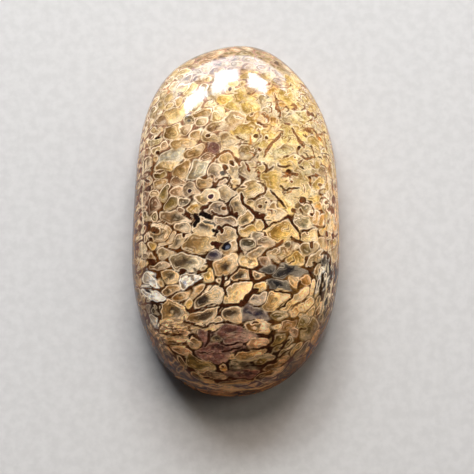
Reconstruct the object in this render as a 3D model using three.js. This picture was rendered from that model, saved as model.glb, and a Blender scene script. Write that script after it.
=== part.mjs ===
// A polished oval cabochon of agatized dinosaur bone: one stone, one solid.
// Millimetres, +Z up. The stone lies on its flat base at z = 0, with its length along Y and its width
// along X. The origin is on the base, under the middle of the stone.

import * as THREE from "three";
import { mergeVertices } from "three/addons/utils/BufferGeometryUtils.js";

// Overall size of the stone.
const WIDTH = 24.0;
const LENGTH = 42.6;
const HEIGHT = 9.5;

// The girdle is the stone's widest ring. The dome rises above it, and below it the side turns in to the base.
const GIRDLE_HEIGHT = 2.0;
const BASE_SHARE = 0.885;

// Roundness of each curve in the stone's section: 2 is an ellipse, and more is squarer.
const DOME_SIDE_ROUNDNESS = 2.3;
const DOME_TOP_ROUNDNESS = 2.1;
const UNDERCUT_ROUNDNESS = 1.7;

// The outline was ground by hand, so it isn't a true ellipse. These say how far it stands out from one, at even
// steps round the stone, starting at +X and going towards +Y.
const SHOULDERS = [
  0.99, 1.03, 1.055, 1.05, 1.04, 1.06, 1.11, 1.055,
  1.015, 1.06, 1.05, 0.995, 0.95, 0.965, 1.01, 1.025,
];

// Fineness of the facets.
const SEGMENTS = 96;
const DOME_RINGS = 22;
const UNDERCUT_RINGS = 6;
const BASE_RINGS = 2;
const OUTLINE_SAMPLES = 720;
const MERGE_DISTANCE = 1e-4;

const HALF_PI = Math.PI / 2;
const FULL_TURN = 2 * Math.PI;

// A quarter of a superellipse at a fraction from its top (0, 1) to its side (1, 0).
function quarter(fraction, sideRoundness, topRoundness) {
  const angle = HALF_PI * (1 - fraction);
  return {
    out: Math.cos(angle) ** (2 / sideRoundness),
    up: Math.sin(angle) ** (2 / topRoundness),
  };
}

// The stone's section, as the share of the way out to the outline against the height, from the middle of the
// base, out along it, up the undercut to the girdle and over the dome to its top.
function sectionPoints() {
  const points = [];
  for (let i = 0; i < BASE_RINGS; i++) {
    points.push(new THREE.Vector2((BASE_SHARE * i) / BASE_RINGS, 0));
  }
  for (let i = 0; i < UNDERCUT_RINGS; i++) {
    const { out, up } = quarter(i / UNDERCUT_RINGS, UNDERCUT_ROUNDNESS, UNDERCUT_ROUNDNESS);
    points.push(new THREE.Vector2(BASE_SHARE + (1 - BASE_SHARE) * out, GIRDLE_HEIGHT * (1 - up)));
  }
  for (let i = DOME_RINGS; i > 0; i--) {
    const { out, up } = quarter(i / DOME_RINGS, DOME_SIDE_ROUNDNESS, DOME_TOP_ROUNDNESS);
    points.push(new THREE.Vector2(out, GIRDLE_HEIGHT + (HEIGHT - GIRDLE_HEIGHT) * up));
  }
  points.push(new THREE.Vector2(0, HEIGHT));
  return points;
}

// The shoulders as one smooth closed wave through all their values.
function shoulderAt(angle) {
  const count = SHOULDERS.length;
  let sum = 0;
  SHOULDERS.forEach((shoulder, i) => {
    const half = (angle - (FULL_TURN * i) / count) / 2;
    const atThisStep = Math.abs(Math.sin(half)) < 1e-9;
    sum += shoulder * (atThisStep ? 1 : Math.sin(count * half) / (count * Math.tan(half)));
  });
  return sum;
}

// The stone's plan outline round an angle, before it is set to its true width and length.
function roughOutline(angle) {
  const shoulder = shoulderAt(angle);
  return new THREE.Vector2(
    (WIDTH / 2) * shoulder * Math.cos(angle),
    (LENGTH / 2) * shoulder * Math.sin(angle),
  );
}

// The plan outline, centred on the origin and exactly as wide and as long as the stone.
function makeOutline() {
  const box = new THREE.Box2();
  for (let i = 0; i < OUTLINE_SAMPLES; i++) {
    box.expandByPoint(roughOutline((FULL_TURN * i) / OUTLINE_SAMPLES));
  }
  const middle = box.getCenter(new THREE.Vector2());
  const trueSize = new THREE.Vector2(WIDTH, LENGTH).divide(box.getSize(new THREE.Vector2()));
  return (angle) => roughOutline(angle).sub(middle).multiply(trueSize);
}

// The section turned round the Z axis, and each point then moved out to its share of the plan outline.
function stoneGeometry() {
  const outline = makeOutline();
  const turned = new THREE.LatheGeometry(sectionPoints(), SEGMENTS);
  turned.rotateX(HALF_PI);
  const position = turned.getAttribute("position");
  for (let i = 0; i < position.count; i++) {
    const x = position.getX(i);
    const y = position.getY(i);
    const edge = outline(Math.atan2(y, x)).multiplyScalar(Math.hypot(x, y));
    position.setXY(i, edge.x, edge.y);
  }
  turned.deleteAttribute("uv");
  turned.deleteAttribute("normal");
  const stone = mergeVertices(turned, MERGE_DISTANCE);
  stone.computeVertexNormals();
  return stone;
}

// Silicified bone: tan and brown, with a glassy polish.
function polishedBone() {
  return new THREE.MeshStandardMaterial({
    name: "polished_bone",
    color: new THREE.Color(0.36, 0.24, 0.14),
    roughness: 0.12,
    metalness: 0,
  });
}

const cabochon = new THREE.Group();
const stone = new THREE.Mesh(stoneGeometry(), polishedBone());
stone.name = "stone";
cabochon.add(stone);

export default cabochon;
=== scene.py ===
# The looks of one polished oval cabochon of agatized dinosaur bone.
# The CAD stone gives the size and the outline. This script lays a finer surface in the same place, works out
# the bone's cells on it, and paints them with a node material.

import math

import bpy
import numpy as np
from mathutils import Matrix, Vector
from mathutils.geometry import delaunay_2d_cdt


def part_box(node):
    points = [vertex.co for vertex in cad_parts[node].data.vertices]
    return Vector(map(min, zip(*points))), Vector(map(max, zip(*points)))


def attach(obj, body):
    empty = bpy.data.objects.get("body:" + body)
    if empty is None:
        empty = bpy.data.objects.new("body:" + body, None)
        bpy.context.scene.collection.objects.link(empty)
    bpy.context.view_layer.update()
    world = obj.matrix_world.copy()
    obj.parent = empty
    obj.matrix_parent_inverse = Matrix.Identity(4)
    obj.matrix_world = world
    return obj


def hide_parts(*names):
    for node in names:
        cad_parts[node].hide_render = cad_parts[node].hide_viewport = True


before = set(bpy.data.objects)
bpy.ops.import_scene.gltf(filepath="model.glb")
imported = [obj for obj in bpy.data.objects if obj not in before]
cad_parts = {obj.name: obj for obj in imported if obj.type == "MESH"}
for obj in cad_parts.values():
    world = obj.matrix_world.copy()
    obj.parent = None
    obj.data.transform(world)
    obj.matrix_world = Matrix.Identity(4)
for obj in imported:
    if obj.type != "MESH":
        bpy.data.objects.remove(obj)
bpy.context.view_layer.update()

MM = 0.001  # metres in a millimetre
FULL_TURN = 2 * math.pi

# ---- The stone's size and shape, in millimetres ----

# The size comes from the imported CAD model. The section and the outline follow the same rules as its stone.
BOX_LOW, BOX_HIGH = (np.array(corner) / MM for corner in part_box("stone"))
WIDTH, LENGTH, HEIGHT = BOX_HIGH - BOX_LOW
MIDDLE = (BOX_LOW + BOX_HIGH)[:2] / 2
GIRDLE_HEIGHT = 2.0
BASE_SHARE = 0.885
DOME_SIDE_ROUNDNESS = 2.3
DOME_TOP_ROUNDNESS = 2.1
UNDERCUT_ROUNDNESS = 1.7
SHOULDERS = np.array([
    0.99, 1.03, 1.055, 1.05, 1.04, 1.06, 1.11, 1.055,
    1.015, 1.06, 1.05, 0.995, 0.95, 0.965, 1.01, 1.025,
])

# How fine the surface is: the quads across and along the dome, and the spacing of the base's points.
DOME_ACROSS = 230
DOME_ALONG = 344
BASE_SPACING = 0.28
SECTION_STEPS = 400
OUTLINE_STEPS = 720

# ---- Small helpers ----


def paint(red, green, blue):
    """A colour given in ordinary 0 to 255 display values, as the linear values that Blender uses."""
    share = np.array([red, green, blue]) / 255.0
    return np.where(share <= 0.04045, share / 12.92, ((share + 0.055) / 1.055) ** 2.4)


def table(text):
    """The rows of a table written as text, parted by semicolons: a name and then its numbers. A row without a
    name has the one before it."""
    rows = []
    for row in text.split(";"):
        words = row.split()
        name = words.pop(0) if words[0].isalpha() else rows[-1][0]
        rows.append((name, *map(float, words)))
    return rows


def ease(low, high, value):
    """0 below low, 1 above high, and a smooth step between."""
    t = np.clip((value - low) / (high - low), 0.0, 1.0)
    return t * t * (3 - 2 * t)


def ripple(points, wavelength, seed, waves=18):
    """Smooth noise between about -1 and 1, made of plane waves in random directions."""
    draw = np.random.default_rng(seed)
    direction = draw.normal(size=(waves, 3))
    direction /= np.linalg.norm(direction, axis=1, keepdims=True)
    pitch = FULL_TURN / (wavelength * draw.uniform(0.7, 1.5, waves))
    phase = draw.uniform(0, FULL_TURN, waves)
    return np.cos(points @ (direction * pitch[:, None]).T + phase).sum(axis=1) / math.sqrt(waves)


def ripple_vector(points, wavelength, seed):
    """Three independent ripples, as a displacement."""
    return np.stack([ripple(points, wavelength, seed + axis) for axis in range(3)], axis=1)


# ---- The stone's surface ----


def rough_outline(angle):
    """The plan outline before it is set to its true width and length."""
    half = (angle[:, None] - FULL_TURN * np.arange(len(SHOULDERS)) / len(SHOULDERS)) / 2
    on_step = np.abs(np.sin(half)) < 1e-9
    safe = np.where(on_step, 1.0, half)
    share = np.where(on_step, 1.0, np.sin(len(SHOULDERS) * safe) / (len(SHOULDERS) * np.tan(safe)))
    shoulder = share @ SHOULDERS
    return np.stack([WIDTH / 2 * shoulder * np.cos(angle), LENGTH / 2 * shoulder * np.sin(angle)], axis=1)


ROUND = rough_outline(np.linspace(0, FULL_TURN, OUTLINE_STEPS, endpoint=False))
ROUGH_MIDDLE = (ROUND.max(axis=0) + ROUND.min(axis=0)) / 2
TRUE_SIZE = np.array([WIDTH, LENGTH]) / (ROUND.max(axis=0) - ROUND.min(axis=0))


def outline(angle):
    """The girdle's plan outline, centred and exactly as wide and as long as the CAD stone."""
    return MIDDLE + (rough_outline(angle) - ROUGH_MIDDLE) * TRUE_SIZE


def oval_angle(offset):
    """The angle of a plan offset from the middle, measured as a true oval's is."""
    return np.arctan2(offset[:, 1] / LENGTH, offset[:, 0] / WIDTH)


def quarter(fraction, side_roundness, top_roundness):
    """A quarter of a superellipse at a fraction from its side (1, 0) to its top (0, 1)."""
    angle = fraction * math.pi / 2
    out = np.maximum(np.cos(angle), 0) ** (2 / side_roundness)
    up = np.maximum(np.sin(angle), 0) ** (2 / top_roundness)
    return out, up


def section(steps):
    """The section from the dome's top over the girdle to the base's edge, as three arrays: the way along it
    from 0 to 1, the share of the way out to the outline, and the height."""
    out, up = quarter(np.linspace(1, 0, steps), DOME_SIDE_ROUNDNESS, DOME_TOP_ROUNDNESS)
    under_out, under_up = quarter(np.linspace(0, 1, steps // 4)[1:], UNDERCUT_ROUNDNESS, UNDERCUT_ROUNDNESS)
    share = np.concatenate([out, BASE_SHARE + (1 - BASE_SHARE) * under_out])
    height = np.concatenate([
        GIRDLE_HEIGHT + (HEIGHT - GIRDLE_HEIGHT) * up,
        GIRDLE_HEIGHT * (1 - under_up),
    ])
    mean_radius = (WIDTH + LENGTH) / 4
    way = np.concatenate([[0], np.cumsum(np.hypot(np.diff(share) * mean_radius, np.diff(height)))])
    return way / way[-1], share, height


def dome_grid(across, along):
    """A grid of points over the dome and down the undercut to the base's edge, its quads, and the numbers of
    the points round that edge."""
    a, b = np.meshgrid(np.linspace(-1, 1, across + 1), np.linspace(-1, 1, along + 1), indexing="ij")
    u = (a * np.sqrt(1 - b * b / 2)).ravel()
    v = (b * np.sqrt(1 - a * a / 2)).ravel()
    way, share, height = section(SECTION_STEPS)
    distance = np.hypot(u, v)
    edge = outline(np.arctan2(v, u))
    reach = np.interp(distance, way, share)[:, None]
    points = np.concatenate([
        MIDDLE + (edge - MIDDLE) * reach,
        np.interp(distance, way, height)[:, None],
    ], axis=1)
    number = np.arange((across + 1) * (along + 1)).reshape(across + 1, along + 1)
    quads = np.stack([number[:-1, :-1], number[1:, :-1], number[1:, 1:], number[:-1, 1:]], axis=-1)
    rim = np.concatenate([number[:, 0], number[-1, 1:], number[-2::-1, -1], number[0, -2:0:-1]])
    return points, quads.reshape(-1, 4), rim


def base_mesh(rim_points, spacing):
    """The flat base inside its edge: the points added inside it, and triangles numbered from the rim's points
    on to the added ones."""
    low, high = rim_points.min(axis=0), rim_points.max(axis=0)
    inside = np.array([(x, y) for x in np.arange(low[0], high[0], spacing)
                       for y in np.arange(low[1], high[1], spacing)])
    angle = oval_angle(inside - MIDDLE)
    for _ in range(6):  # each step brings the outline's point closer to the line through the given one
        angle = angle + oval_angle(inside - MIDDLE) - oval_angle(outline(angle) - MIDDLE)
    room = BASE_SHARE - np.hypot(*(inside - MIDDLE).T) / np.hypot(*(outline(angle) - MIDDLE).T)
    inside = inside[room > 0.6 * spacing / (WIDTH / 2)]
    loop = len(rim_points)
    flat = [Vector(p) for p in np.concatenate([rim_points, inside])]
    edges = [(i, (i + 1) % loop) for i in range(loop)]
    made = delaunay_2d_cdt(flat, edges, [list(range(loop))], 1, 1e-6)
    assert len(made[0]) == len(flat)
    return inside, np.array(made[2])


def stone_mesh():
    """The stone's fine surface: its points in millimetres, and its faces."""
    points, quads, rim = dome_grid(DOME_ACROSS, DOME_ALONG)
    added, triangles = base_mesh(points[rim][:, :2], BASE_SPACING)
    base = np.concatenate([rim, len(points) + np.arange(len(added))])[triangles]
    corner = np.concatenate([points[:, :2], added])
    a, b, c = (corner[base[:, i]] for i in range(3))
    upward = (b[:, 0] - a[:, 0]) * (c[:, 1] - a[:, 1]) - (b[:, 1] - a[:, 1]) * (c[:, 0] - a[:, 0]) > 0
    base[upward] = base[upward][:, ::-1]
    base_points = np.concatenate([added, np.full((len(added), 1), BOX_LOW[2])], axis=1)
    return np.concatenate([points, base_points]), quads, base


# ---- The bone's cells: what stands where ----

# Each kind of mineral filling: the colour of the body of a cell, and the colour at its middle.
FILLINGS = {name: (paint(*values[:3]), paint(*values[3:])) for name, *values in table("""
tan 190 150 98 70 53 39; ash 168 136 100 60 48 42; cream 224 188 130 88 71 55;
gold 220 174 88 156 110 46; amber 204 142 64 146 84 30; pale 206 178 138 82 69 59;
white 250 244 236 196 190 190; chalk 250 244 234 160 152 150; milk 190 175 147 164 150 124;
shell 206 182 144 92 76 62; grey 138 120 94 56 49 44; slate 84 76 70 34 32 38;
mauve 160 120 92 90 64 52; violet 126 86 80 62 36 34; plum 122 100 94 58 50 60;
lilac 186 160 136 62 54 56; olive 142 116 66 76 60 32; brown 142 98 54 80 48 24;
pink 204 154 112 142 98 72
""")}

# Fillings that are equally light in every zone, and how light.
FIXED_LIGHT = {"white": 1.0, "chalk": 1.35, "milk": 1.0, "shell": 1.0, "slate": 1.0, "plum": 1.0}

# Fillings without a sharp rim.
SOFT_EDGED = ("violet", "slate", "plum")

# Fillings that run together where two cells of the same one meet.
FUSING = ["violet", "plum", "white"]

RIM_PAINT = np.array(paint(255, 233, 197))

# The zones of the stone, one to a row. x, y and reach say where a zone is and how far it spreads. long and
# short are a cell's half lengths, and turn is the way its long side lies, in degrees from +X. web is half the
# web's width, and break_up how much it swells and dies away. rim is how strongly the cells' pale rims show.
# veil is how much golden haze hides the cells, tone how light they are, and warm how far they turn to orange.
# Tone is partly the stone's own colour and partly painted light: it is set high on the steep right edge and
# at the near end, where less lamp light falls.
# glow is how far the rim's light reaches into a cell and how strong its core is. streak is how far the cells
# are drawn out in streaks along X. All lengths are millimetres. The web's paint follows these numbers, and
# then the fillings.
ZONE_COLUMNS = "x y reach long short turn web break_up rim veil tone warm glow streak".split()


def zone_row(row):
    """A row of the zones' table: its numbers by name, the web's paint and the fillings."""
    words, named = row.split(), len(ZONE_COLUMNS)
    numbers = [float(word) for word in words[:named + 3]]
    values = dict(zip(ZONE_COLUMNS, numbers))
    return {**values, "web_paint": paint(*numbers[named:]), "fillings": words[named + 3:]}


ZONES = [zone_row(row) for row in """
    0  18.5 3.5 .85  .5   0  .02  .05  .32  .1  .61  .2  .1  0 160 124 104 mauve pink pink tan tan
 -6.5    11 3.6 .74 .55  40  .03  .06 1.05 .18  .98  .4  .1  0 142 102 78 tan pale ash cream mauve
 -5.5     5 3.4 .76 .56 -20  .03 .065 1.05  .1  .77  .8 .12  0 114 77 52 tan pale ash cream pale
    1  11.5 3.2 1.1 .75  20    0  .09   .6 .25  .78  .2  .2  0 168 124 88 gold tan gold amber pink
    6   8.5   4 1.1 .75 -50 -.04  .08   .5  .4  .84  .1  .2  0 148 98 72 gold pale gold cream amber
  6.5   2.5 3.4 1.1 .75  10 -.05  .07   .5  .3  .92  .1 .25  0 124 76 44 gold pale cream amber tan
-10.8     2 2.6  .8 .46   0  .05  .07    1   0  .64  .8 .15  0 94 53 22 tan mauve olive ash
-11.2    -5   2  .7 .42   0 .055  .06  1.1   0  .66  .7  .2  0 68 37 14 tan mauve cream ash
   -9  -5.5   3 .98 .64 -30 .045  .06 1.05 .05  .73   1  .3  0 86 47 16 tan ash gold tan
 -1.5    -2 3.8 .98 .66  10 .045 .065 1.05   0   .8 .55 .35  0 62 36 24 tan ash cream tan lilac
  5.5  -3.5 3.4 1.3  .8   5 .015  .07   .6 .15 1.13  .2 .35  0 98 56 26 gold tan cream gold
 10.8     0 2.2  .9 .24  88 -.02  .09  1.1 .15  1.5  .4  .2  0 140 78 34 gold amber cream pale
  -.5 -11.5 3.8 1.3 .56  24  .05  .05  .65   0  1.3  .4  .5  0 70 38 17 tan cream ash cream
   -7 -15.2   2 1.5 .24   0  .04  .04   .8  .1 1.74  .6  .3  1 110 66 34 tan brown pink tan
 -6.3 -11.2 1.7 1.1  .6 -10 .045  .05   .9   0 1.25  .9  .4  0 76 45 24 tan cream ash gold
 -9.7 -12.6 1.2  .6  .3 -60  .09  .08   .8   0  .62  .6  .2  0 34 24 16 grey olive lilac tan
 -7.2   -18 1.6  .9  .3 -35  .07  .08   .7   0  1.3  .8  .2 .3 40 22 10 brown olive amber brown
    8 -12.5 2.8 1.1  .4  38  .04  .04   .5  .1 1.58  .6 .35 .2 126 86 40 olive tan olive cream
 10.6  -9.5 1.8  .7 .16  74  .08   .1  1.4   0  1.3  .3  .1  0 22 17 13 grey white lilac slate tan
  -.6   -16   2 1.7 .36   2 -.02  .06   .6   0 1.45  .2  .3 .8 56 30 24 violet pink mauve violet tan
    0   -19 3.6   2 .45   0  .06  .04   .5  .1 1.68  .7  .2 .7 50 24 11 brown olive mauve pink tan
""".strip().splitlines()]

# The cells that give this stone its look: filling, x, y, length, width and turn. Some rows go on with how far
# the dark core lies along the cell (from -1 to 1) and its size as a share of the cell.
LANDMARKS = table("""
tan -8.6 -3.7 3.2 2 -20 -.35 .5; ash -6.3 -3.1 2 .9 -30 0 .3; cream -3.7 -3.3 1.9 1.3 -25 .3 .4;
lilac -1.1 -2.9 2 1 0; pale -.7 -4.4 1.6 1.4 0; cream -3.7 -5.5 3.2 1.5 -10 0 -.3;
pale -6.6 -5.1 2.5 .7 25 0 .2; -8.2 -6.1 1.7 1.5 -10 0 .15; mauve -8.8 -7.4 2.2 .7 0 0 .4;
shell -5.1 -7.6 3.9 1.2 -10 -.5 .4; cream -3.6 -8.1 1.3 .8 -20; tan -1.3 -8.1 2.5 1.7 35 .1 .3;
gold -3 -9 1.3 1.4 0; white -5.65 -9.9 1.5 .65 55 .2 .3; -4.6 -9.25 1.7 .5 -5; cream -7.5 -8.8 1.3 1 -5 0 .5;
chalk -9.4 -8.7 2.5 1 -32 .3 .2; cream -8.7 -9.3 1.5 .7 -35; pale -10.8 -5 1.4 1.2 80;
plum -2.35 -6.7 1.4 1.4 0 0 .5; ash -6.9 -2.1 3 1.5 -15 .3 .4; -10.4 5.4 1.8 1.3 10 0 .5;
cream -8 4.4 1.8 1.4 -10 0 .2; tan -6 3.5 1.7 1.1 -15 0 .3; milk -4.2 3.5 2.9 1.3 50;
lilac -2.5 3.2 1.7 1.2 -45 .5 .4; pale -.3 3.3 1.7 1.1 -90; tan -3.7 1.7 1.6 1 -5 0 .3;
lilac -5.3 1.2 1.6 1.4 -25 0 .5; pink -6.7 1 1.5 1 -10; olive -8.1 1.1 1.7 1.3 -90; mauve -6.6 2.2 1.7 .7 -5;
cream -3.7 -.1 2.7 1.2 20 .4 .3; pale -1.2 .3 1.7 1.6 90; .2 -.8 1.7 1.1 90;
lilac -1.9 -1.3 1.9 1.3 -15 .4 .3; mauve -9.3 -.2 1.5 1.3 5 0 .4; tan -10.3 2.8 1.5 1.2 5 0 .4;
mauve -10.3 1.2 1.5 .9 -20 0 .3; olive -7.4 -.5 1.7 1.5 -90; grey -6 -.4 1.2 .7 -5 .2 .4;
gold -4.6 -.8 1.4 1 30; mauve -6 -1.6 1.6 .8 -50; cream -7.2 10.8 1.9 1.6 -10 0 .3;
mauve -8.6 10.2 1.3 1 -15 0 .5; tan -9.3 9.1 1.7 .9 -20; brown -9.5 11.7 2.3 1 -30 0 .3;
tan -7.2 8.2 1.8 1.8 -10 -.2 .3; mauve -5.8 8.3 1.5 1 -5 0 .4; tan -4.5 7.8 1.2 1.1 -5 0 .3;
mauve -2.3 8.6 1.7 1 15 0 .5; pale -2.6 7.4 2.4 1.1 -25 -.4 .3; tan -6.4 6.9 2.7 1.1 -10 .4 .3;
pink -8.3 7.1 1.5 .9 -30 0 .3; olive -9.4 7.9 2.4 1 -20 .4 .3; violet -2.4 5.9 1.4 1.1 -20 0 .5;
tan -4.6 5.6 1.8 1.1 10 0 .5; mauve -3.3 5 1.6 1 -5 0 .3; milk -7.5 5.5 2.5 1.2 10 .4 .3;
cream -.9 5.3 2.3 1.6 0 0 .2; pale -1.3 6.8 2.4 1.1 -35; tan -3.5 10.5 1.9 1.1 -5 0 .3;
cream -2.2 10.4 1.6 1.5 0 0 .2; grey -5.4 9.7 1 .7 -25 0 .7; tan -8.6 12.6 1.4 1.1 -20 0 .5;
cream -7.6 13.2 1.5 1.1 -15; -7.8 12 1.2 .8 -15 0 .3; tan -6.8 12.3 1.1 1.1 -10 0 .3; gold 1.1 -3.8 2 1 10;
lilac 2.5 -4.6 1.3 .8 0 0 .4; grey 1.4 -5.6 1.4 1.1 30 0 .7; mauve 3.4 -5.3 1.6 1.4 0 -.1 .5;
gold 5.4 -4.1 3.5 1.8 5; ash 6 -5.5 1.7 1 5 0 .4; 2.5 -6.4 2.9 .9 25 0 .2; tan 4.7 -6.4 2.8 1.3 25 0 .2;
cream 1.7 -7.5 2 .9 -10; mauve 3.2 -7.4 1.6 1 0; pale 7.7 -2.9 1.9 1 -20 0 .3; cream 8.3 -4 2.1 1.2 10;
slate 6 -8.5 4.3 .9 5 .1 .6; 3.6 -8.3 1.4 .8 20 0 .5; tan 2.6 -9 1.5 .9 0 0 .4; .5 -9.1 1.6 1 0 0 .4;
6.6 -9.5 1.3 .9 -40; amber 7.9 -9 1 .8 90 -.3 0; slate 4.6 -9.8 3.2 1 -10 0 .65; gold 2.9 -10.2 1.6 .9 30;
tan -4 -10.8 2.5 .7 35; pale -2.8 -11.5 3.6 1.5 25 -.5 .35; cream .1 -10.9 2.9 1.8 15;
-6.9 -12.7 2.7 1.35 -35 .1 .5; tan -3.7 -13.5 3.6 1.1 15 .1 .5; -.4 -13.3 2.2 1.2 10 -.3 .6;
chalk -9.6 -10.6 3.1 .95 -12 .3 .1; grey -9.2 -12.3 1.1 .5 -15; chalk -9.45 -13.35 1.4 .8 -60;
tan -6.2 -11.3 1.7 1 -5; -7.4 -10.5 1.8 .9 -5 0 .2; gold -5.3 -11.9 1.2 1 -5; violet 0 -15.5 3.8 1 0;
grey -2.1 -16 .9 .9 0 0 .3; violet -.7 -16.6 2.9 .8 0 0 .4; tan -4.9 -16.3 1.4 1.2 -85 0 .3;
pink 2.2 -16.3 2.5 .9 0; lilac 2.1 -11.7 1.8 1 15 0 .2; cream 4.5 -11.7 3 1.2 40;
plum 1.3 -13.3 1.9 1 -10 0 .5; 2.9 -13.4 1.9 .9 -10 0 .4; olive 4.7 -13.4 2.3 .7 0 0 .3;
cream 6.7 -11.5 3.6 .8 40; tan 6.5 -12.8 1.1 .9 50; cream 7.4 -12.1 1 .9 60; 8.1 -11.6 .9 .8 60;
7.3 -13.3 .6 .4 10; tan 2.5 -14.7 2 .9 0 0 .2; brown 5.8 -14.7 2.1 1.3 40; mauve 6.7 -15 1.1 1 5;
olive 7.5 -13.8 1.6 1 10 0 .3; 8.2 -14.4 2.7 1.3 45 0 .2; 5 -15.6 2.5 .9 35 0 .2; cream 9 -15.1 1.3 .9 55;
olive 5.3 -16.6 2.7 1 35 0 .2; cream 4.5 -14.6 1.2 .4 10; olive -4 -18.5 3 1.2 -15;
violet -1.7 -17.7 1.8 .9 -10; -3.4 -17.6 1.6 .9 -5; tan 1.3 -17.6 3.4 .9 10; olive 3.4 -17.9 3.8 .8 20;
5.4 -17.1 2.7 .9 35; grey 1 -18.6 2.9 .8 0 0 .7; amber -1.5 -18.8 1.1 .8 -90; violet .5 -19.5 3.4 .7 0 0 .5;
brown 4 -19.4 2.9 1.2 25; tan -4.4 -20.2 2 .7 -15; amber -1.6 -20.9 4.9 .7 -5; pink 1.2 -20.6 2.2 .5 10;
mauve -.1 -20.3 2.7 .7 0; tan 3 3.4 1.1 1 0 0 .2; mauve 1.2 5.5 1.8 1.4 0 .2 .6; gold 1.5 8.2 2.1 2 0;
1.8 11.1 1.8 1.1 0; pale 3.9 10.9 1.4 1.3 5; 6.2 10.5 2 1.6 10; 5.4 5.7 2.2 1.2 25; cream 1.7 .9 2.5 1.7 10;
1.8 -.8 .8 .7 -90; 1.1 -2.7 1.5 1 5 0 .4; gold 4.2 2.2 2.1 1.9 5; pale 3.2 -.9 1.6 1.2 -30 0 .2;
tan 4.5 -1.6 2.2 1.4 -40 0 .2; ash 8 -.6 1.6 1.1 10 0 .6; gold 5.5 -.7 1.4 1.2 5; cream 7.3 1.3 2.3 1.7 10;
-6.6 -14.3 3 .35 -4; -8.2 -14.6 .6 .45 -5; -7.5 -14.8 .7 .45 -5; tan -6.8 -14.9 .7 .45 -5;
mauve -5.8 -14.9 1.3 .45 -8; tan -7.1 -15.6 3.2 .45 -5; -6.9 -16.2 2.8 .4 -6; pink -6.2 -16.9 2.6 .7 -12;
violet -3.6 -15.7 1.2 .6 -5; .6 -16.1 2.4 .6 0; -1.9 -17 2.2 .7 -5 0 .4; -2.6 -18.2 2.4 .6 -8
""")

# The colours of the dark lines and specks that lie between and over the cells.
INKS = {name: paint(*values) for name, *values in table("""
black 26 18 14; ink 22 20 24; plum 70 46 52; maroon 58 26 18; slate 84 80 74; dark 66 34 18;
umber 92 58 32; rust 112 58 28; brown 136 90 54; tawny 150 102 62; orange 196 118 48;
bone 236 200 146; ember 255 188 118; steel 108 112 124
""")}

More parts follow.
